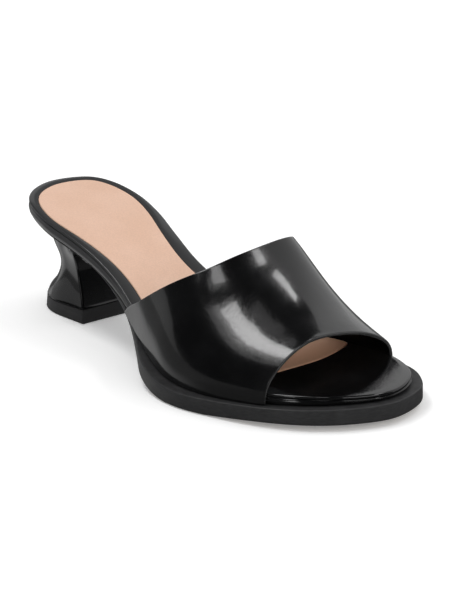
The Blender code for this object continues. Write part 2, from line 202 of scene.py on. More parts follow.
# The outsole's underside. Where its height is 0 it stands on the floor.
OUTSOLE_UNDERSIDE = (
    Rise(0.290, 0.652),
    Rise(0.320, 0.606),
    Rise(0.360, 0.529),
    Rise(0.400, 0.449),
    Rise(0.430, 0.372),
    Rise(0.460, 0.296),
    Rise(0.500, 0.177),
    Rise(0.540, 0.080),
    Rise(0.580, 0.032),
    Rise(0.610, 0.010),
    Rise(0.640, 0.000),
    Rise(0.740, 0.000),
    Rise(0.780, 0.014),
    Rise(0.840, 0.031),
    Rise(0.900, 0.040),
    Rise(1.000, 0.044),
)

# Arches over the foot. The crown is the arch's highest point and the ridge is its place across
# the shoe. The arches behind the collar's top only lead its edge down to the ledge. Fullness 2
# is an ellipse, and less is flatter.
ARCHES = (
    Arch(0.42, 1.087, -0.036, 2.20, 2.00),
    Arch(0.48, 1.192, 0.006, 2.14, 1.97),
    Arch(0.56, 1.186, 0.054, 2.06, 1.93),
    Arch(0.62, 1.113, 0.091, 2.00, 1.90),
    Arch(0.68, 0.893, 0.106, 1.92, 1.82),
    Arch(0.76, 0.681, 0.026, 1.82, 1.72),
    Arch(0.86, 0.531, -0.140, 1.70, 1.60),
)

# The upper's edges, by the turn round the arch in degrees, from the outer side over the top
COLLAR = (
    Edge(0, 0.444),
    Edge(20, 0.526),
    Edge(45, 0.622),
    Edge(70, 0.655),
    Edge(90, 0.659),
    Edge(110, 0.649),
    Edge(135, 0.607),
    Edge(160, 0.524),
    Edge(180, 0.437),
)
TOE_OPENING = (
    Edge(0, 0.852),
    Edge(45, 0.860),
    Edge(90, 0.862),
    Edge(135, 0.848),
    Edge(180, 0.832),
)

# Sections of the heel block, floor to seat. The breast runs from outer_front to inner_front.
# seat_share says how far a section already slopes as the seat does.
HEEL_BLOCK = (
    Block(0.000, 0.0232, 0.1970, -0.202, 0.257, -0.196, 0.175, 0.00),
    Block(0.104, 0.0256, 0.1864, -0.191, 0.242, -0.173, 0.153, 0.00),
    Block(0.183, 0.0332, 0.1780, -0.171, 0.215, -0.159, 0.138, 0.00),
    Block(0.261, 0.0520, 0.1698, -0.154, 0.187, -0.148, 0.126, 0.00),
    Block(0.339, 0.0625, 0.1632, -0.140, 0.166, -0.142, 0.119, 0.00),
    Block(0.417, 0.0672, 0.1586, -0.134, 0.156, -0.142, 0.117, 0.00),
    Block(0.496, 0.0643, 0.1580, -0.141, 0.164, -0.153, 0.126, 0.00),
    Block(0.562, 0.0553, 0.1624, -0.155, 0.187, -0.175, 0.150, 0.05),
    Block(0.609, 0.0465, 0.1728, -0.163, 0.213, -0.200, 0.178, 0.12),
    Block(0.655, 0.0355, 0.1868, -0.172, 0.240, -0.234, 0.222, 0.25),
    Block(0.716, 0.0213, 0.2120, -0.202, 0.288, -0.300, 0.284, 0.45),
    Block(0.759, 0.0110, 0.2440, -0.245, 0.317, -0.321, 0.277, 0.80),
)

# Soft swells and hollows of the upper, by their middle's place along and across the shoe, the
# way they run in degrees from the heel-to-toe line, and their reach, breadth and height in metres
UNDULATIONS = (
    Undulation(0.668, -0.330, -62, 0.0110, 0.0045, -0.00007),
    Undulation(0.672, -0.440, 20, 0.0120, 0.0060, 0.00006),
    Undulation(0.715, -0.450, 35, 0.0090, 0.0050, -0.00007),
    Undulation(0.752, -0.446, 15, 0.0080, 0.0050, 0.00007),
    Undulation(0.707, -0.253, -50, 0.0070, 0.0040, 0.00005),
    Undulation(0.733, -0.246, -60, 0.0070, 0.0040, -0.00005),
    Undulation(0.765, -0.243, -55, 0.0070, 0.0045, 0.00006),
    Undulation(0.800, -0.230, -50, 0.0070, 0.0045, -0.00005),
    Undulation(0.775, -0.076, 30, 0.0140, 0.0070, -0.00008),
    Undulation(0.735, 0.200, 10, 0.0180, 0.0060, -0.00009),
    Undulation(0.790, 0.260, -20, 0.0140, 0.0060, 0.00008),
    Undulation(0.600, -0.540, 60, 0.0140, 0.0060, 0.00007),
    Undulation(0.668, -0.535, 75, 0.0120, 0.0070, -0.00006),
    Undulation(0.640, 0.380, 40, 0.0160, 0.0070, 0.00008),
    Undulation(0.720, 0.440, -60, 0.0130, 0.0060, -0.00007),
)

# How finely the curves and the finished surfaces are divided
CURVE_STEP = 0.0005
MERGE_DISTANCE = 2e-6
SHARP_FROM = 40.0    # degrees
DENSE_POINTS = 2400
SIDE_STEPS = 190
UPPER_ROWS = 84
UPPER_COLUMNS = 168
HEEL_BACK_STEPS = 44
HEEL_SIDE_STEPS = 24
HEEL_CORNER_STEPS = 4
HEEL_LEVELS = 72
ARCH_TURNS = 1800
COLUMN_SPLIT = 3
BREAST_SHARES = (0.02, 0.10, 0.30, 0.50, 0.70, 0.90, 0.98)

# How far sudden changes of bend are eased: in metres along the shoe and round an outline, and in
# steps between the rows of the upper and the levels of the heel
EASE_ALONG = 0.0060
EASE_ROUND = 0.0030
EASE_ROWS = 3.0
EASE_LEVELS = 2.5

# The steps that the middle line of a closing face stops short of its back and front ends
FOOTBED_FANS = (34, 44)
SOCK_FANS = (30, 40)
SOLE_FANS = (14, 46)
HEEL_FANS = (22, 14)

# Fine edges that the plain solids leave out
BAND_SWELL = 0.0002
RIM_CROWN = 0.00015
SOCK_CORNER = 0.0045
LIFT_EDGE = 0.0004
HEEL_EDGE = 0.00025
UPPER_EDGE_ROUND = 0.00078


# ---- Curves ----
def smooth(places, values):
    """A smooth curve through the values as a function. It keeps the end values beyond the ends."""
    places = np.asarray(places, float)
    values = np.asarray(values, float)
    slopes = np.gradient(values, places, axis=0)

    def at(place):
        place = np.clip(place, places[0], places[-1])
        i = np.clip(np.searchsorted(places, place, side="right") - 1, 0, len(places) - 2)
        width = places[i + 1] - places[i]
        t = (place - places[i]) / width
        if values.ndim > 1:
            spread = (-1,) + (1,) * (values.ndim - 1)
            width, t = np.reshape(width, spread), np.reshape(t, spread)
        near = (1 + 2 * t) * (1 - t) ** 2 * values[i] + t * (1 - t) ** 2 * width * slopes[i]
        far = t * t * (3 - 2 * t) * values[i + 1] + t * t * (t - 1) * width * slopes[i + 1]
        return near + far

    return at


def eased(samples, reach, closed=False):
    """Even samples of a curve with sudden changes of bend eased over a reach in samples.

    The curve neither shrinks nor grows, and an open curve keeps its ends.
    """
    half = int(3 * reach) + 1
    weights = np.exp(-0.5 * (np.arange(-half, half + 1) / reach) ** 2)
    weights /= weights.sum()

    def blurred(run):
        if closed:
            longer = np.concatenate([run[-half:], run, run[:half]])
        else:
            before = 2 * run[:1] - run[half:0:-1]
            after = 2 * run[-1:] - run[-2 : -half - 2 : -1]
            longer = np.concatenate([before, run, after])
        return sum(w * longer[i : i + len(run)] for i, w in enumerate(weights))

    once = blurred(np.asarray(samples, float))
    return 2 * once - blurred(once)


def by_length(rows, name, scale=1.0):
    """One column of a table as an eased function of the place along the shoe in metres."""
    places = [row.along * LENGTH for row in rows]
    dense = np.arange(places[0], places[-1], CURVE_STEP)
    values = smooth(places, [getattr(row, name) * scale for row in rows])(dense)
    values = eased(values, EASE_ALONG / CURVE_STEP)
    return lambda x: np.interp(x, dense, values)


def plan(rows, back, tip):
    """The dense closed outline of a table: outer side forwards, tip, inner side back."""
    points = [(row.along * LENGTH, row.outer * BALL_BREADTH) for row in rows]
    points += [(tip[0] * LENGTH, tip[1] * BALL_BREADTH)]
    points += [(row.along * LENGTH, row.inner * BALL_BREADTH) for row in reversed(rows)]
    points += [(back[0] * LENGTH, back[1] * BALL_BREADTH)]
    lap = 3
    looped = np.array(points[-lap:] + points + points[:lap])
    run = np.concatenate([[0.0], np.cumsum(np.sqrt(np.hypot(*np.diff(looped, axis=0).T)))])
    places = np.linspace(run[lap], run[lap + len(points)], DENSE_POINTS, endpoint=False)
    curve = even(smooth(run, looped)(places))
    curve = eased(curve, EASE_ROUND / spacing(curve), closed=True)
    return np.roll(curve, -curve[:, 0].argmin(), axis=0)


def run_along(curve):
    """The distance run from the first point of a curve to each of its points."""
    return np.concatenate([[0.0], np.cumsum(np.linalg.norm(np.diff(curve, axis=0), axis=1))])


def stepped(curve, count):
    """So many points in even steps along a curve, from its first point to its last."""
    run = run_along(curve)
    places = np.linspace(0.0, run[-1], count)
    return np.stack([np.interp(places, run, column) for column in curve.T], axis=1)


def spacing(curve):
    """The mean distance between the points of a closed curve."""
    return np.linalg.norm(np.roll(curve, -1, axis=0) - curve, axis=1).mean()


def even(curve):
    """A closed curve with its points spread evenly along it."""
    looped = np.concatenate([curve, curve[:1]])
    return stepped(looped, len(curve) + 1)[:-1]


def widened(curve, distance):
    """The outline, moved out by a distance at each of its points."""
    along = np.roll(curve, -1, axis=0) - np.roll(curve, 1, axis=0)
    along /= np.linalg.norm(along, axis=1)[:, None]
    outwards = np.stack([along[:, 1], -along[:, 0]], axis=1)
    return curve + outwards * np.reshape(distance, (-1, 1))


def sides(curve):
    """The outer and the inner side of an outline as functions of the place along the shoe."""
    curve = np.roll(curve, -curve[:, 0].argmin(), axis=0)
    tip = curve[:, 0].argmax()
    outer = curve[: tip + 1]
    inner = np.concatenate([curve[tip:], curve[:1]])[::-1]
    return (
        lambda x: np.interp(x, outer[:, 0], outer[:, 1]),
        lambda x: np.interp(x, inner[:, 0], inner[:, 1]),
    )


def picked_round(curve, steps, back=None):
    """Indices round an outline in even steps: forwards on the outer side, back on the inner.

    With back given, only the outline in front of that place counts.
    """
    run = run_along(curve)
    tip = curve[:, 0].argmax()
    first, last = 0, len(curve) - 1
    if back is not None:
        first = int(np.argmax(curve[:tip, 0] >= back))
        last = int(tip + np.flatnonzero(curve[tip:, 0] >= back)[-1])
    outer = np.searchsorted(run, np.linspace(run[first], run[tip], steps + 1))
    inner = np.searchsorted(run, np.linspace(run[tip], run[last], steps + 1))
    inner = np.minimum(inner, last)
    if back is None:
        return np.concatenate([outer, inner[1:-1]])
    return np.concatenate([outer, inner[1:]])


footbed_top = by_length(FOOTBED_RISE, "height", SEAT_HEIGHT)
footbed_thickness = by_length(FOOTBED_BAND, "thickness")
underside_curve = by_length(OUTSOLE_UNDERSIDE, "height", SEAT_HEIGHT)


def footbed_underside(x):
    return footbed_top(x) - footbed_thickness(x)


def outsole_underside(x):
    """The sole's lower face, which no part of the curve takes below the floor."""
    return np.maximum(underside_curve(x), 0.0)


def seat(x):
    """The top of the outsole and of the heel block, close under the footbed."""
    return footbed_underside(x) - GAP


FOOTBED_EDGE = plan(FOOTBED_PLAN, FOOTBED_BACK, FOOTBED_TIP)
OUTSOLE_EDGE = plan(OUTSOLE_PLAN, OUTSOLE_HIDDEN_BACK, OUTSOLE_TIP)
OUTER_EDGE_OF_UPPER, INNER_EDGE_OF_UPPER = sides(widened(FOOTBED_EDGE, GAP + WALL))
TO_FRAME = (
    solids_low.x - FOOTBED_EDGE[:, 0].min(),
    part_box("outsole")[0].y - OUTSOLE_EDGE[:, 1].min(),
    0.0,
)


# ---- Skins ----
def on(points, height):
    """Points of a plan at the heights that height gives for their places along the shoe."""
    return np.column_stack([points, height(points[:, 0])])


def towards_spine(ring, shares, fans, cut=0):
    """Rings from an outline in to the line midway between its two sides.

    The line stops short of the outline's ends by the fans' steps, and the last ring lies on it.
    With cut 1 the outline doesn't start at its back's middle, but is cut straight across there.
    """
    count = len(ring)
    index = np.arange(count)
    partner = (count - cut - index) % count
    middle = (ring + ring[partner]) / 2
    near = np.minimum(index, partner)
    spine = middle[np.clip(near, fans[0], count // 2 - fans[1])]
    return [ring + (spine - ring) * share for share in shares]


def sheet(rows):
    """A grid laid over rows of points."""
    count, columns = rows.shape[:2]
    bm = bmesh.new()
    bmesh.ops.create_grid(bm, x_segments=columns - 1, y_segments=count - 1, size=1.0)
    for vert, place in zip(bm.verts, rows.reshape(-1, 3)):
        vert.co = place
    return bm


def skin(rings):
    """A closed skin through rings of equal counts, the first and last drawn onto their spines."""
    bm = sheet(np.concatenate([rings, np.asarray(rings)[:, :1]], axis=1))
    bmesh.ops.remove_doubles(bm, verts=bm.verts, dist=MERGE_DISTANCE)
    bmesh.ops.recalc_face_normals(bm, faces=bm.faces)
    return bm


def object_from(name, bm, finishes):
    """An object in the scene with its place in its mesh."""
    mesh = bpy.data.meshes.new(name)
    bm.to_mesh(mesh)
    bm.free()
    for finish in finishes:
        mesh.materials.append(finish)
    made = bpy.data.objects.new(name, mesh)
    bpy.context.scene.collection.objects.link(made)
    return made


def finished(name, bm, node, finishes):
    """A piece of the shoe that stands for a plain solid and rides with the shoe."""
    bmesh.ops.translate(bm, verts=bm.verts, vec=TO_FRAME)
    made = object_from(name, bm, finishes)
    made.data.shade_smooth()
    made.data.set_sharp_from_angle(angle=math.radians(SHARP_FROM))
    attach(made, "root")
    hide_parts(node)
    return made


# ---- Footbed and sock ----
def quarter(count):
    """Sine and one-minus-cosine pairs of a quarter turn."""
    turns = np.linspace(0.0, math.pi / 2, count)
    return list(zip(np.sin(turns), 1 - np.cos(turns)))


def footbed(finishes):
    """The wrapped insole board: a band, a groove above it, a round rim and the sock's recess."""
    picked = picked_round(FOOTBED_EDGE, SIDE_STEPS)
    low, high = footbed_underside, footbed_top

    def groove_foot(x):
        return high(x) - RIM_HEIGHT - GROOVE_WIDTH

    def shoulder(x):
        room = groove_foot(x) - low(x) - BAND_ROUND
        return groove_foot(x) - np.minimum(SHOULDER_DROP, room / 2)

    def recess_floor(x):
        return high(x) - SOCK_RECESS

    def between(first, second, share):
        return lambda x: first(x) * (1 - share) + second(x) * share

    layers = []
    for s, c in quarter(6):
        layers.append((-BAND_ROUND * (1 - s), lambda x, c=c: low(x) + BAND_ROUND * c))
    for share in np.linspace(0.0, 1.0, 7)[1:-1]:
        swell = BAND_SWELL * math.sin(math.pi * share)
        layers.append((swell, between(lambda x: low(x) + BAND_ROUND, shoulder, share)))
    for s, c in quarter(8)[:-1]:
        layers.append((-SHOULDER_IN * c, between(shoulder, groove_foot, s)))
    for share in np.linspace(0.0, 1.0, 8):
        depth = GROOVE_DEPTH * math.sin(math.pi * share) + SHOULDER_IN * (1 - share)
        layers.append((-depth, lambda x, t=share: groove_foot(x) + GROOVE_WIDTH * t))
    for s, c in quarter(7):
        layers.append((-RIM_ROUND * c, lambda x, s=s: high(x) - RIM_ROUND * (1 - s)))

    rings = [on(widened(FOOTBED_EDGE, out)[picked], height) for out, height in layers]
    rim = widened(FOOTBED_EDGE, -RIM_ROUND)[picked]
    recess = widened(sock_edge(), GAP)[picked]
    for share in np.linspace(0.0, 1.0, 13)[1:]:
        crown = RIM_CROWN * math.sin(math.pi * share)
        rings.append(on(rim + (recess - rim) * share, lambda x: high(x) + crown))
    inside = [recess] + towards_spine(recess, (0.33, 0.67, 1.0), FOOTBED_FANS)
    underside = towards_spine(rings[0][:, :2], (1.0, 0.75, 0.5, 0.25), FOOTBED_FANS)
    rings = [on(ring, low) for ring in underside] + rings
    rings += [on(ring, recess_floor) for ring in inside]
    return finished("footbed_wrap", skin(rings), "footbed", finishes)


def sock_front(y):
    """The place of the sock's front edge along the shoe, at places across it."""
    bend = np.maximum(y / BALL_BREADTH - SOCK_BEND_FROM, 0.0)
    return LENGTH * (SOCK_FRONT - SOCK_BEND * bend**2)


def sock_edge():
    """The footbed's outline moved in, and cut off in front by the sock's bent front edge."""
    x, y = FOOTBED_EDGE.T
    inner_share = 1 / (1 + np.exp(-(y - FOOTBED_BACK[1] * BALL_BREADTH) / SOCK_SIDE_BLEND))
    outer_inset = by_length(SOCK_INSET, "outer")(x)
    inner_inset = by_length(SOCK_INSET, "inner")(x)
    curve = widened(FOOTBED_EDGE, -outer_inset * (1 - inner_share) - inner_inset * inner_share)
    beyond = np.flatnonzero(curve[:, 0] > sock_front(curve[:, 1]))
    curve[beyond, 1] = np.linspace(curve[beyond[0], 1], curve[beyond[-1], 1], len(beyond))
    curve[beyond, 0] = sock_front(curve[beyond, 1])
    return eased(curve, SOCK_CORNER / spacing(curve), closed=True)


def sock(finishes):
    """The lining, with a softened upper edge."""
    picked = picked_round(FOOTBED_EDGE, SIDE_STEPS)
    edge = sock_edge()

    def underside(x):
        return footbed_top(x) - SOCK_RECESS + GAP

    def face(x):
        return underside(x) + SOCK_THICKNESS

    rings = [on(edge[picked], underside)]
    for s, c in quarter(6):
        ring = widened(edge, -SOCK_ROUND * c)[picked]
        rings.append(on(ring, lambda x: face(x) - SOCK_ROUND * (1 - s)))
    inner = widened(edge, -SOCK_ROUND)[picked]
    shares = (0.02, 0.05, 0.10, 0.16, 0.24, 0.34, 0.46, 0.60, 0.74, 0.88, 1.0)
    below = towards_spine(edge[picked], (1.0, 0.5), SOCK_FANS)
    rings = [on(ring, underside) for ring in below] + rings
    rings += [on(ring, face) for ring in towards_spine(inner, shares, SOCK_FANS)]
    return finished("sock_lining", skin(rings), "sock", finishes)


# ---- Outsole ----
def outsole(finishes):
    """The sole, whose edge stands out round the upper as a ledge.

    Its level underside is bare leather, and the edge and the rising waist are painted.
    """
    back = OUTSOLE_BACK * LENGTH + GAP
    picked = picked_round(OUTSOLE_EDGE, SIDE_STEPS, back)

    def thickness(x):
        return seat(x) - outsole_underside(x)

    def bottom_round(x):
        return np.minimum(EDGE_ROUND_BOTTOM, BOTTOM_ROUND_SHARE * thickness(x))

    def top_round(x):
        return np.minimum(EDGE_ROUND_TOP, TOP_ROUND_SHARE * thickness(x))

    def ring(out, height):
        points = widened(OUTSOLE_EDGE, out)[picked]
        points[0, 0] = points[-1, 0] = back
        return on(points, height)

    low, high = outsole_underside, seat
    rings = []
    for s, c in quarter(7):
        rings.append(ring(-EDGE_ROUND_BOTTOM * (1 - s), lambda x: low(x) + bottom_round(x) * c))
    rings.append(ring(0.0, lambda x: (low(x) + high(x)) / 2))
    for s, c in quarter(6):
        rings.append(ring(-EDGE_ROUND_TOP * c, lambda x: high(x) - top_round(x) * (1 - s)))

    under = towards_spine(rings[0][:, :2], (1.0, 0.8, 0.6, 0.4, 0.2, 0.06), SOLE_FANS, cut=1)
    over = towards_spine(rings[-1][:, :2], (0.03, 0.08, 0.2, 0.5, 1.0), SOLE_FANS, cut=1)
    bm = skin([on(ring, low) for ring in under] + rings + [on(ring, high) for ring in over])
    for face in bm.faces:
        middle = face.calc_center_median()
        is_low = middle.z < float(low(middle.x)) + EDGE_ROUND_BOTTOM
        face.material_index = 1 if is_low and face.normal.z < LEVEL_BELOW else 0
    return finished("sole", bm, "outsole", finishes)


# ---- Upper ----
arch_crown = by_length(ARCHES, "crown", INSTEP_HEIGHT)
arch_ridge = by_length(ARCHES, "ridge", BALL_BREADTH)
arch_side_fullness = by_length(ARCHES, "side_fullness")
arch_top_fullness = by_length(ARCHES, "top_fullness")


def edge_place(edge):
    """The place of the upper's edge along the shoe as a function of the turn round the arch."""
    return smooth([math.radians(row.turn) for row in edge], [row.along * LENGTH for row in edge])


collar_place = edge_place(COLLAR)
toe_place = edge_place(TOE_OPENING)


def arch_points(x, turn):
    """Points of the arches over the foot, by place along the shoe and turn round the arch."""
    ridge = arch_ridge(x)
    edge = np.where(np.cos(turn) > 0, OUTER_EDGE_OF_UPPER(x), INNER_EDGE_OF_UPPER(x))
    rim = footbed_top(x)
    across = np.abs(np.cos(turn)) ** (2 / arch_side_fullness(x))
    up = np.abs(np.sin(turn)) ** (2 / arch_top_fullness(x))
    height = rim + (arch_crown(x) - rim) * up
    return np.stack([x, ridge + (edge - ridge) * across, height], axis=-1)


def row_over_foot(share):
    """A line over the foot from ledge to ledge, at a share of the way from collar to toe."""
    turns = np.linspace(0.0, math.pi, ARCH_TURNS + 1)
    starts, ends = collar_place(turns), toe_place(turns)
    over = arch_points(starts + (ends - starts) * share, turns)
    feet = []
    for turn, edge_of_upper in ((0.0, OUTER_EDGE_OF_UPPER), (math.pi, INNER_EDGE_OF_UPPER)):
        start = float(collar_place(turn)) - COLLAR_FOOT_SET_BACK
        x = start + (float(toe_place(turn)) - start) * share
        feet.append((x, float(edge_of_upper(x)), float(seat(x)) + GAP))
    whole = np.concatenate([[feet[0]], over, [feet[1]]])
    steps = UPPER_COLUMNS * COLUMN_SPLIT
    fine = eased(stepped(whole, steps + 1), EASE_ALONG * steps / run_along(whole)[-1])
    return fine[::COLUMN_SPLIT]


def undulated(rows):
    """The rows over the foot, raised and lowered by the swells and hollows of the leather."""
    outwards = np.cross(np.gradient(rows, axis=1), np.gradient(rows, axis=0))
    outwards /= np.linalg.norm(outwards, axis=2)[..., None]
    if outwards[..., 2].mean() < 0:
        outwards = -outwards
    height = np.zeros(rows.shape[:2])
    for swell in UNDULATIONS:
        x = rows[..., 0] - swell.along * LENGTH
        y = rows[..., 1] - swell.across * BALL_BREADTH
        way = math.radians(swell.way)
        run = (x * math.cos(way) + y * math.sin(way)) / swell.reach
        off = (y * math.cos(way) - x * math.sin(way)) / swell.breadth
        height += swell.height * np.exp(-(run**2) - off**2)
    return rows + outwards * height[..., None]


def upper(finishes):
    """The one wide band over the foot, open at the collar, at the toe and underneath."""
    rows = np.array([row_over_foot(share) for share in np.linspace(0.0, 1.0, UPPER_ROWS + 1)])
    bm = sheet(undulated(eased(rows, EASE_ROWS)))
    bmesh.ops.recalc_face_normals(bm, faces=bm.faces)
    top = max(bm.faces, key=lambda face: face.calc_center_median().z)
    if top.normal.z < 0:
        bmesh.ops.reverse_faces(bm, faces=bm.faces)
    made = finished("upper_band", bm, "upper", finishes)
    wall = made.modifiers.new("wall", "SOLIDIFY")
    wall.thickness = WALL
    wall.offset = -1.0
    wall.use_even_offset = True
    wall.material_offset = 1
    wall.material_offset_rim = 2
    soft_edges = made.modifiers.new("soft edges", "BEVEL")
    soft_edges.width = UPPER_EDGE_ROUND
    soft_edges.segments = 4
    soft_edges.limit_method = "ANGLE"
    soft_edges.angle_limit = math.radians(60)
    return made


# ---- Heel and top piece ----
def sized(row):
    """A row of the heel's table in metres."""
    wholes = (SEAT_HEIGHT, LENGTH, LENGTH, *[BALL_BREADTH] * 4, 1.0)
    return Block(*[share * whole for share, whole in zip(row, wholes)])


def block_side(row, edge, front, widest, roundness):
    """One side of a heel section: round from its back to its widest place, then to the breast."""
    back_side = FOOTBED_BACK[1] * BALL_BREADTH
    wide_at = row.back + widest * (row.front - row.back)
    turns = np.linspace(0.0, math.pi / 2, HEEL_BACK_STEPS + 1)
    back = np.column_stack([
        wide_at - (wide_at - row.back) * np.cos(turns),
        back_side + (edge - back_side) * np.sin(turns) ** (2 / roundness),
    ])
    share = np.linspace(0.0, 1.0, HEEL_SIDE_STEPS + 1)[1:]
    side = np.column_stack([
        wide_at + (row.front - HEEL_CORNER - wide_at) * share,
        edge + (front - edge) * share * share * (2 - share),
    ])
    turns = np.linspace(0.0, math.pi / 2, HEEL_CORNER_STEPS + 1)[1:]
    corner = np.column_stack([
        row.front - HEEL_CORNER * (1 - np.sin(turns)),
        front - math.copysign(HEEL_CORNER, front) * (1 - np.cos(turns)),
    ])
    return np.concatenate([back, side, corner])


def closed_by_breast(outer, inner):
    """A section's ring: outer side forwards, straight across the breast, inner side back."""
    across = [outer[-1] + (inner[-1] - outer[-1]) * share for share in BREAST_SHARES]
    return np.concatenate([outer, across, inner[:0:-1]])


def block_ring(row):
    """A heel section with its heights, which slope with the seat as far as seat_share says."""
    outer = block_side(row, row.outer, row.outer_front, OUTER_WIDEST, OUTER_ROUNDNESS)
    inner = block_side(row, row.inner, row.inner_front, INNER_WIDEST, INNER_ROUNDNESS)
    ring = closed_by_breast(outer, inner)
    middle = seat(OUTSOLE_BACK * LENGTH / 2)
    return np.column_stack([ring, row.height + row.seat_share * (seat(ring[:, 0]) - middle)])


def seat_ring(drop):
    """The heel's outline at the seat, just inside the footbed's, lowered by a drop."""
    outer, inner = sides(widened(FOOTBED_EDGE, -SEAT_INSET))
    front = OUTSOLE_BACK * LENGTH
    steps = HEEL_BACK_STEPS + HEEL_SIDE_STEPS + HEEL_CORNER_STEPS
    turns = np.linspace(0.0, math.pi / 2, steps + 1)
    x = SEAT_INSET + (front - SEAT_INSET) * (1 - np.cos(turns)) ** SEAT_CROWDING
    ring = closed_by_breast(np.column_stack([x, outer(x)]), np.column_stack([x, inner(x)]))
    return np.column_stack([ring, seat(ring[:, 0]) - drop])


def filled(ring):
    """Rings from a section in to its middle line, to close it."""
    return towards_spine(ring, (0.01, 0.06, 0.3, 0.65, 1.0), HEEL_FANS)


def shrunk(ring, inset, drop):
    """A section drawn in all round by an inset and lowered by a drop."""
    points = widened(ring[:, :2], -inset)
    return np.column_stack([points, ring[:, 2] - drop])


def heel(finishes):
    """The hourglass block, which ends in front in a thin wedge under the waist."""
    rows = [sized(row) for row in HEEL_BLOCK[1:]]
    rows[0] = rows[0]._replace(height=LIFT_HEIGHT + GAP)
    sections = np.array([block_ring(row) for row in rows] + [seat_ring(WEDGE_THICKNESS)])
    steps = np.linalg.norm(np.diff(sections, axis=0), axis=2).mean(axis=1)
    climb = np.concatenate([[0.0], np.cumsum(steps)])
    levels = smooth(climb, sections)(np.linspace(0.0, climb[-1], HEEL_LEVELS + 1))
    levels = eased(levels, EASE_LEVELS)
    edge = [shrunk(levels[0], HEEL_EDGE * c, -HEEL_EDGE * (1 - s)) for s, c in quarter(4)[::-1]]
    rings = filled(edge[0])[::-1] + edge + list(levels[1:])
    top = seat_ring(0.0)
    rings += [top] + filled(top)
    return finished("heel_block", skin(rings), "heel", finishes)


def heel_lift(finishes):
    """The top piece under the heel, flat on the floor."""
    low, high = sized(HEEL_BLOCK[0]), sized(HEEL_BLOCK[1])
    low, high = block_ring(low), block_ring(high._replace(height=LIFT_HEIGHT))
    wall = [low + (high - low) * share for share in np.linspace(0.0, 1.0, 9)[1:-1]]
    foot = [shrunk(low, LIFT_EDGE * (1 - s), -LIFT_EDGE * c) for s, c in quarter(5)]
    head = [shrunk(high, LIFT_EDGE * 0.5 * c, LIFT_EDGE * 0.5 * (1 - s)) for s, c in quarter(4)]
    rings = filled(foot[0])[::-1] + foot + wall + head + filled(head[-1])
    return finished("top_piece", skin(rings), "heel_lift", finishes)


# ---- Finishes ----
# Colours as red, green and blue in linear light
UPPER_BLACK = (0.0018, 0.0018, 0.0020)
WRAP_BLACK = (0.0030, 0.0030, 0.0032)
# Grey for the wrap towards the heel: a painted sheen where the rim lies open to the light
WRAP_PAINTED_SHEEN = (0.028, 0.028, 0.029)
# Grey, not black: partly the dressed edge's own tone, partly a painted highlight line along the
# rounded cut edges
CUT_EDGE_GREY_AND_HIGHLIGHT = (0.0280, 0.0280, 0.0282)
LINING_TONES = ((0.0040, 0.0039, 0.0038), (0.0060, 0.0058, 0.0056))
SOCK_TONES = ((0.800, 0.520, 0.380), (0.840, 0.560, 0.420))
# Browner, more saturated sock tone towards the toe: painted shade for the dim light inside the toe
SOCK_TOE_PAINTED_SHADE = (0.900, 0.500, 0.315)
PAINT_TONES = ((0.020, 0.020, 0.021), (0.034, 0.034, 0.035))
NATURAL_TONES = ((0.26, 0.20, 0.145), (0.38, 0.31, 0.235))
NATURAL_STAIN = (0.21, 0.16, 0.115)
LACQUER_TONES = ((0.0025, 0.0025, 0.0028), (0.0045, 0.0045, 0.0048))
RUBBER_TONES = ((0.014, 0.014, 0.015), (0.028, 0.028, 0.029))
LEATHER_DUST = (0.35, 0.34, 0.33)
LACQUER_DUST = (0.30, 0.30, 0.30)
PAINT_DUST = (0.09, 0.088, 0.085)
RUBBER_DUST = (0.07, 0.068, 0.065)

# Where one finish runs into another, from none of it to all of it, in metres from the middle
# How far the wrap's duller finish and its painted sheen reach in from the heel
HEEL_SHEEN_ALONG = (0.055, 0.010)
# Where the sock's painted toe shade sets in
TOE_SHADE_ALONG = (0.030, 0.062)
BRUSHED_ALONG = (0.044, 0.056)
BRUSHED_INNER = (-0.004, -0.014)
BRUSHED_OUTER = (-0.037, -0.029)


def put(tree, made, socket, value):
    """Links an output to a socket, or sets the socket's own value."""
    target = made.inputs[int(socket[1:])] if socket[0] == "#" else made.inputs[socket]
    if isinstance(value, bpy.types.NodeSocket):
        tree.links.new(value, target)
    else:
        target.default_value = value


def add(tree, kind, settings=(), **inputs):
    """A node with its settings and the values or links of its inputs, named with _ for spaces."""
    made = tree.nodes.new(kind)
    for name, value in dict(settings).items():
        setattr(made, name, value)
    for name, value in inputs.items():
        put(tree, made, name.replace("_", " "), value)
    return made


def maths(tree, operation, *values):
    made = add(tree, "ShaderNodeMath", {"operation": operation})
    for index, value in enumerate(values):
        put(tree, made, f"#{index}", value)
    return made.outputs[0]


def times(tree, first, second):
    return maths(tree, "MULTIPLY", first, second)


def line(tree, value, slope, start):
    """The value times a slope, added to a start."""
    return maths(tree, "MULTIPLY_ADD", value, slope, start)


def ramp(tree, value, low, high, to_low=0.0, to_high=1.0):
    """The value taken from one range to another, softly at both ends."""
    made = add(tree, "ShaderNodeMapRange", {"interpolation_type": "SMOOTHSTEP"}, Value=value)
    ends = {"From Min": low, "From Max": high, "To Min": to_low, "To Max": to_high}
    for name, number in ends.items():
        made.inputs[name].default_value = number
    return made.outputs["Result"]


def noise(tree, place, scale, detail=2.0, roughness=0.5, distortion=0.0):
    made = add(
        tree, "ShaderNodeTexNoise",
        Vector=place, Scale=scale, Detail=detail, Roughness=roughness, Distortion=distortion,
    )
    return made.outputs["Fac"]


def stretched(tree, place, scale, turn=0.0):
    """The place turned round Z in radians and scaled, to draw a pattern out."""
    made = add(
        tree, "ShaderNodeMapping", {"vector_type": "POINT"},
        Vector=place, Rotation=(0.0, 0.0, turn), Scale=scale,
    )
    return made.outputs["Vector"]


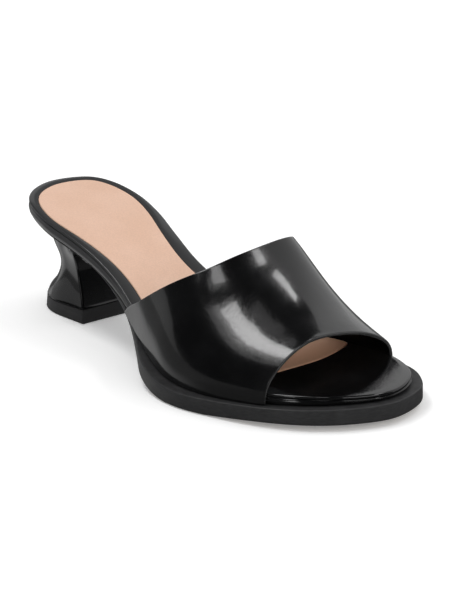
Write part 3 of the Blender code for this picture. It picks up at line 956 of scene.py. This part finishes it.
def along_and_across(tree, place):
    split = add(tree, "ShaderNodeSeparateXYZ", Vector=place)
    return split.outputs["X"], split.outputs["Y"]


def blended(tree, share, first, second):
    """One colour running into another by a share."""
    made = add(tree, "ShaderNodeMix", {"data_type": "RGBA"})
    put(tree, made, "#0", share)
    for socket, colour in (("#6", first), ("#7", second)):
        linked = isinstance(colour, bpy.types.NodeSocket)
        put(tree, made, socket, colour if linked else (*colour, 1.0))
    return made.outputs[2]


def group(name, inputs, outputs):
    """An empty shader group with named sockets, and its input and output nodes."""
    made = bpy.data.node_groups.new(name, "ShaderNodeTree")
    for socket, kind in inputs:
        made.interface.new_socket(name=socket, in_out="INPUT", socket_type=kind)
    for socket in outputs:
        made.interface.new_socket(name=socket, in_out="OUTPUT", socket_type="NodeSocketFloat")
    return made, made.nodes.new("NodeGroupInput"), made.nodes.new("NodeGroupOutput")


def leather_grain_group():
    """Fine leather: pores between small plates, hair lines, polishing strokes and unevenness."""
    sockets = (("Place", "NodeSocketVector"), ("Pore Scale", "NodeSocketFloat"))
    effects = ("Plates", "Hair Lines", "Strokes", "Ripples", "Unevenness")
    tree, given, result = group("leather grain", sockets, effects)
    place, scale = given.outputs["Place"], given.outputs["Pore Scale"]
    plates = add(
        tree, "ShaderNodeTexVoronoi", {"feature": "SMOOTH_F1"},
        Vector=place, Scale=scale, Smoothness=0.6, Randomness=1.0,
    )
    fine = noise(tree, place, times(tree, scale, 1.7), 3.0, 0.6)
    drawn_out = stretched(tree, place, (0.25, 1.0, 1.0), 0.5)
    crosswise = stretched(tree, place, (1.0, 0.30, 0.30), 0.70)
    made = {
        "Plates": line(tree, fine, 0.5, plates.outputs["Distance"]),
        "Hair Lines": noise(tree, drawn_out, times(tree, scale, 0.55), 4.0, 0.65, 0.4),
        "Strokes": noise(tree, crosswise, times(tree, scale, 0.55), 3.0, 0.6, 0.3),
        "Ripples": noise(tree, place, times(tree, scale, 0.16), 2.0, 0.5),
        "Unevenness": noise(tree, place, times(tree, scale, 0.035), 3.0, 0.5),
    }
    for effect in effects:
        put(tree, result, effect, made[effect])
    return tree


def dust_group():
    """Sparse specks and faint rubbed patches."""
    sockets = (("Place", "NodeSocketVector"),)
    tree, given, result = group("dust and rubbing", sockets, ("Specks", "Rubbing"))
    place = given.outputs["Place"]
    specks = add(tree, "ShaderNodeTexVoronoi", {"feature": "F1"}, Vector=place, Scale=420.0)
    near = ramp(tree, specks.outputs["Distance"], 0.05, 0.09, 1.0, 0.0)
    some = ramp(tree, noise(tree, place, 90.0, 1.0), 0.62, 0.68)
    put(tree, result, "Specks", times(tree, near, some))
    put(tree, result, "Rubbing", ramp(tree, noise(tree, place, 55.0, 4.0, 0.6), 0.45, 0.75))
    return tree


LEATHER_GRAIN = leather_grain_group()
DUST = dust_group()


def begun(name):
    """A new material with its tree, its shader and the place on the piece in metres."""
    made = bpy.data.materials.new(name)
    made.use_nodes = True
    tree = made.node_tree
    shader = tree.nodes["Principled BSDF"]
    place = tree.nodes.new("ShaderNodeTexCoord").outputs["Object"]
    return made, tree, shader, place


def surfaced(tree, shader, tone, rough, normal):
    """Gives the shader its changing colour, roughness and fine relief."""
    put(tree, shader, "Base Color", tone)
    put(tree, shader, "Roughness", rough)
    put(tree, shader, "Normal", normal)


def placed(tree, shared, **inputs):
    """A shared group of effects, placed in a material with its own values."""
    made = add(tree, "ShaderNodeGroup", {"node_tree": shared})
    for name, value in inputs.items():
        put(tree, made, name.replace("_", " "), value)
    return made.outputs


def bumped(tree, height, distance, strength=1.0, normal=None):
    made = add(tree, "ShaderNodeBump", Height=height, Distance=distance, Strength=strength)
    if normal is not None:
        put(tree, made, "Normal", normal)
    return made.outputs["Normal"]


def glossy_leather(name, colour, roughness, ripple, coat, heel_dulling_and_sheen=0.0, brushed=0.0):
    """Smooth black leather with a polished face that is never quite even.

    It can be duller and greyer towards the heel, the grey a painted sheen where the rim lies open
    to the light, and brushed on the outer side. The ripple and the brushed strokes are heights in
    metres.
    """
    made, tree, shader, place = begun(name)
    grain = placed(tree, LEATHER_GRAIN, Place=place, Pore_Scale=1500.0)
    dust = placed(tree, DUST, Place=place)
    along, across = along_and_across(tree, place)
    lifted = tuple(channel * 1.9 + 0.0015 for channel in colour)
    tone = blended(tree, ramp(tree, grain["Unevenness"], 0.35, 0.75), colour, lifted)
    tone = blended(tree, times(tree, dust["Specks"], 0.10), tone, LEATHER_DUST)
    rough = line(tree, grain["Hair Lines"], 0.07, roughness - 0.035)
    rough = line(tree, dust["Rubbing"], 0.03, rough)
    if heel_dulling_and_sheen:
        # Towards the heel the finish turns duller, and the grey tone there is a painted sheen
        towards_heel = ramp(tree, along, *HEEL_SHEEN_ALONG)
        rough = line(tree, towards_heel, heel_dulling_and_sheen, rough)
        tone = blended(tree, towards_heel, tone, WRAP_PAINTED_SHEEN)
    normal = bumped(tree, grain["Unevenness"], ripple)
    normal = bumped(tree, grain["Ripples"], ripple * 0.4, 1.0, normal)
    normal = bumped(tree, grain["Plates"], 0.0000035, 1.0, normal)
    normal = bumped(tree, grain["Hair Lines"], ripple * 0.2, 1.0, normal)
    if brushed:
        inner_end = ramp(tree, across, *BRUSHED_INNER)
        outer_end = ramp(tree, across, *BRUSHED_OUTER)
        there = times(tree, times(tree, inner_end, outer_end), ramp(tree, along, *BRUSHED_ALONG))
        strokes = maths(tree, "SUBTRACT", grain["Strokes"], 0.5)
        normal = bumped(tree, times(tree, strokes, there), brushed, 1.0, normal)
    surfaced(tree, shader, tone, rough, normal)
    shader.inputs["Coat Weight"].default_value = coat
    shader.inputs["Coat Roughness"].default_value = 0.06
    shader.inputs["Specular IOR Level"].default_value = 0.55
    return made


def soft_leather(name, tones, roughness, pores, shine=0.5, toe=None):
    """Undressed lining leather with a fine even grain, a low sheen, and perhaps a painted shade
    at its toe end: a browner, more saturated tone for the dim light inside the toe.
    """
    made, tree, shader, place = begun(name)
    grain = placed(tree, LEATHER_GRAIN, Place=place, Pore_Scale=pores)
    dust = placed(tree, DUST, Place=place)
    dark, light = tones
    tone = blended(tree, ramp(tree, grain["Unevenness"], 0.30, 0.72), dark, light)
    pore = times(tree, ramp(tree, grain["Plates"], 0.45, 0.95), 0.16)
    tone = blended(tree, pore, tone, tuple(channel * 0.62 for channel in dark))
    if toe:
        along = along_and_across(tree, place)[0]
        # The browner tone towards the toe is painted shade
        tone = blended(tree, ramp(tree, along, *TOE_SHADE_ALONG), tone, toe)
    rough = line(tree, dust["Rubbing"], -0.06, roughness)
    surfaced(tree, shader, tone, rough, bumped(tree, grain["Plates"], 0.00004, 0.7))
    shader.inputs["Specular IOR Level"].default_value = shine
    return made


def painted_edge():
    """The sole's cut edge: pressed leather board under matte black paint."""
    made, tree, shader, place = begun("painted sole edge")
    strata = noise(tree, stretched(tree, place, (0.12, 0.12, 1.0)), 2600.0, 3.0, 0.6)
    specks = noise(tree, place, 3200.0, 2.0)
    dust = placed(tree, DUST, Place=place)
    tone = blended(tree, ramp(tree, strata, 0.30, 0.75), *PAINT_TONES)
    tone = blended(tree, times(tree, dust["Rubbing"], 0.12), tone, PAINT_DUST)
    normal = bumped(tree, line(tree, specks, 0.5, strata), 0.00003, 0.8)
    surfaced(tree, shader, tone, line(tree, specks, 0.16, 0.44), normal)
    return made


def natural_sole():
    """Bare tanned leather under the sole, with long fibres and faint marks of the rolling."""
    made, tree, shader, place = begun("natural sole leather")
    grain = placed(tree, LEATHER_GRAIN, Place=place, Pore_Scale=900.0)
    streaks = noise(tree, stretched(tree, place, (0.2, 1.0, 1.0)), 700.0, 5.0, 0.65)
    tone = blended(tree, ramp(tree, streaks, 0.3, 0.75), *NATURAL_TONES)
    tone = blended(tree, ramp(tree, grain["Unevenness"], 0.55, 0.85), tone, NATURAL_STAIN)
    normal = bumped(tree, line(tree, grain["Plates"], 0.5, streaks), 0.00004, 0.7)
    surfaced(tree, shader, tone, line(tree, streaks, 0.2, 0.40), normal)
    return made


def lacquer():
    """The heel's sprayed gloss, with the slow waviness of lacquer."""
    made, tree, shader, place = begun("heel lacquer")
    dust = placed(tree, DUST, Place=place)
    tone = blended(tree, noise(tree, place, 45.0, 2.0, 0.5), *LACQUER_TONES)
    tone = blended(tree, times(tree, dust["Specks"], 0.10), tone, LACQUER_DUST)
    normal = bumped(tree, noise(tree, place, 260.0, 2.0, 0.4), 0.00002, 0.8)
    surfaced(tree, shader, tone, line(tree, dust["Rubbing"], 0.05, 0.13), normal)
    shader.inputs["Coat Weight"].default_value = 0.5
    shader.inputs["Coat Roughness"].default_value = 0.05
    return made


def moulded_rubber():
    """The top piece: dense matte rubber with a fine moulded grain and scuffs."""
    made, tree, shader, place = begun("top piece rubber")
    grit = noise(tree, place, 2800.0, 3.0, 0.7)
    dust = placed(tree, DUST, Place=place)
    tone = blended(tree, ramp(tree, grit, 0.3, 0.8), *RUBBER_TONES)
    tone = blended(tree, times(tree, dust["Rubbing"], 0.15), tone, RUBBER_DUST)
    normal = bumped(tree, grit, 0.00004, 0.8)
    surfaced(tree, shader, tone, line(tree, grit, 0.15, 0.50), normal)
    return made


# ---- The shoe ----
upper_face = glossy_leather(
    "polished upper leather", UPPER_BLACK, 0.17, ripple=0.00012, coat=0.5, brushed=0.00011
)
# The wrap's greyer heel end is a painted sheen
wrap_face = glossy_leather(
    "footbed wrap leather", WRAP_BLACK, 0.07, ripple=0.00005, coat=0.25, heel_dulling_and_sheen=0.28
)
# The dressed edge's lifted grey is in part a painted highlight line
edge_dressing = glossy_leather("dressed edge", CUT_EDGE_GREY_AND_HIGHLIGHT, 0.16, ripple=0.00003, coat=1.0)
lining = soft_leather("black lining leather", LINING_TONES, 0.50, pores=1100.0, shine=0.2)
# The sock's browner toe end is painted shade
sock_face = soft_leather("peach sock leather", SOCK_TONES, 0.55, pores=1300.0, toe=SOCK_TOE_PAINTED_SHADE)

outsole([painted_edge(), natural_sole()])
footbed([wrap_face])
sock([sock_face])
upper([upper_face, lining, edge_dressing])
heel([lacquer()])
heel_lift([moulded_rubber()])


# ---- Stage, light and camera ----
Panel = namedtuple("Panel", "name place turns width height brightness")

CEILING = 1.4
FLOOR_SIZE = 6.0
FLOOR_DROP = 0.0002
WHITE = (1.0, 1.0, 1.0, 1.0)

# The floor's greys: to the eye, in the gloss, and in the gloss for the strip beside and behind
# the heel, near the shoe and farther out
FLOOR_SEEN = (0.95, 0.95, 0.95)
FLOOR_MIRRORED = (0.12, 0.12, 0.12)
FLOOR_BESIDE = ((0.68, 0.68, 0.68), (0.18, 0.18, 0.18))

# Soft flat lamps. Those at the ceiling look straight down, and the others stand upright.
# Turns are in degrees round X, Y and Z.
PANELS = (
    Panel("softbox", (-0.330, -0.338, CEILING), (0, 0, -10), 0.90, 0.38, 6.7),
    Panel("softbox skirt", (-0.200, -0.640, CEILING), (0, 0, -6), 0.74, 0.18, 1.5),
    Panel("softbox fringe", (-0.180, -0.830, CEILING), (0, 0, -6), 0.66, 0.20, 0.8),
    Panel("faint fringe", (-0.300, 0.090, CEILING), (0, 0, -14), 0.66, 0.26, 0.45),
    Panel("small softbox", (0.565, -0.435, CEILING), (0, 0, 0), 0.130, 0.325, 4.6),
    Panel("small softbox wing", (0.470, -0.655, CEILING), (0, 0, -42), 0.07, 0.10, 1.5),
    Panel("strip", (0.085, 0.738, CEILING), (0, 0, -31), 0.53, 0.16, 6.4),
    Panel("short strip", (0.615, 0.515, CEILING), (0, 0, 10), 0.21, 0.15, 7.5),
    Panel("pale wall", (-0.201, 1.674, 1.10), (-90, 0, -35.7), 2.78, 2.20, 0.58),
    Panel("low wall", (-1.138, 1.550, 0.85), (-90, 0, 38.0), 0.620, 1.80, 0.62),
    Panel("back wall", (-1.750, 0.823, 0.60), (-90, 0, 62.0), 0.77, 1.30, 0.62),
    Panel("rear wall", (-1.355, -0.500, 0.12), (-90, 0, 115.0), 1.73, 0.50, 0.36),
    Panel("side slit", (0.549, -1.178, 0.60), (-90, 0, -155.0), 0.16, 0.80, 2.4),
    Panel("front softbox", (1.247, -0.087, 0.72), (-90, 0, -94.0), 0.80, 0.60, 2.2),
)


def pale_floor():
    """White to the eye, with a glow that fades near the shoe, and greyer in the gloss."""
    made, tree, shader, place = begun("pale floor")
    path = tree.nodes.new("ShaderNodeLightPath")
    along, across = along_and_across(tree, place)
    beside = ramp(tree, across, -0.005, -0.030)
    behind = times(tree, ramp(tree, along, -0.080, -0.110), ramp(tree, across, 0.010, -0.010))
    near_heel = ramp(tree, along, 0.050, 0.000)
    close = times(tree, maths(tree, "MAXIMUM", beside, behind), near_heel)
    pale = blended(tree, ramp(tree, across, -0.055, -0.085), *FLOOR_BESIDE)
    mirrored = blended(tree, close, FLOOR_MIRRORED, pale)
    tone = blended(tree, path.outputs["Is Glossy Ray"], FLOOR_SEEN, mirrored)
    put(tree, shader, "Base Color", tone)
    distance = add(tree, "ShaderNodeVectorMath", {"operation": "LENGTH"}, **{"#0": place})
    glow = ramp(tree, distance.outputs["Value"], 0.30, 1.60, 0.22, 1.00)
    put(tree, shader, "Emission Strength", times(tree, path.outputs["Is Camera Ray"], glow))
    shader.inputs["Emission Color"].default_value = WHITE
    shader.inputs["Roughness"].default_value = 0.9
    shader.inputs["Specular IOR Level"].default_value = 0.1
    return made


def floor():
    """The ground under the shoe, which isn't part of it."""
    bm = bmesh.new()
    bmesh.ops.create_grid(bm, x_segments=1, y_segments=1, size=FLOOR_SIZE)
    ground = object_from("floor", bm, [pale_floor()])
    ground.location.z = solids_low.z - FLOOR_DROP


def light(panel):
    """A soft flat lamp of an even brightness, which the eye doesn't see directly."""
    lamp = bpy.data.lights.new(panel.name, "AREA")
    lamp.shape = "RECTANGLE"
    lamp.size, lamp.size_y = panel.width, panel.height
    lamp.energy = panel.brightness * math.pi * panel.width * panel.height
    made = bpy.data.objects.new(panel.name, lamp)
    made.location = panel.place
    made.rotation_euler = [math.radians(turn) for turn in panel.turns]
    made.visible_camera = False
    bpy.context.scene.collection.objects.link(made)


def surroundings():
    """White to the eye, soft light from all round, and a dark room for the gloss to mirror."""
    world = bpy.data.worlds.new("studio")
    bpy.context.scene.world = world
    world.use_nodes = True
    tree = world.node_tree
    path = tree.nodes.new("ShaderNodeLightPath")
    dark = add(tree, "ShaderNodeBackground", Color=(0.9, 0.95, 1.0, 1.0), Strength=0.03)
    soft = add(tree, "ShaderNodeBackground", Color=WHITE, Strength=0.39)
    seen = add(tree, "ShaderNodeBackground", Color=WHITE, Strength=1.0)
    shown = dark.outputs[0]
    for kind, other in (("Is Diffuse Ray", soft), ("Is Camera Ray", seen)):
        mixed = tree.nodes.new("ShaderNodeMixShader")
        put(tree, mixed, "#0", path.outputs[kind])
        put(tree, mixed, "#1", shown)
        put(tree, mixed, "#2", other.outputs[0])
        shown = mixed.outputs[0]
    put(tree, tree.nodes["World Output"], "Surface", shown)


def camera():
    """The camera looks down on the shoe's outer side and front, from about 1.7 metres off."""
    place = Vector((1.2822, -1.0032, 0.5761))
    target = Vector((0.0033, 0.0113, 0.0270))
    data = bpy.data.cameras.new("camera")
    data.lens = 222.0
    data.sensor_width = 36.0
    made = bpy.data.objects.new("camera", data)
    made.location = place
    # An upright line at this place on the floor stands upright in the view.
    upright = Vector((-0.0276, 0.1489, 0.0)) - place
    back = (place - target).normalized()
    up = upright.cross(Vector((0.0, 0.0, 1.0))).cross(upright)
    right = up.cross(back).normalized()
    turned = Matrix((right, back.cross(right), back)).transposed()
    made.rotation_euler = turned.to_euler()
    bpy.context.scene.collection.objects.link(made)
    bpy.context.scene.camera = made


floor()
surroundings()
for panel in PANELS:
    light(panel)
camera()
bpy.context.scene.view_settings.view_transform = "Standard"
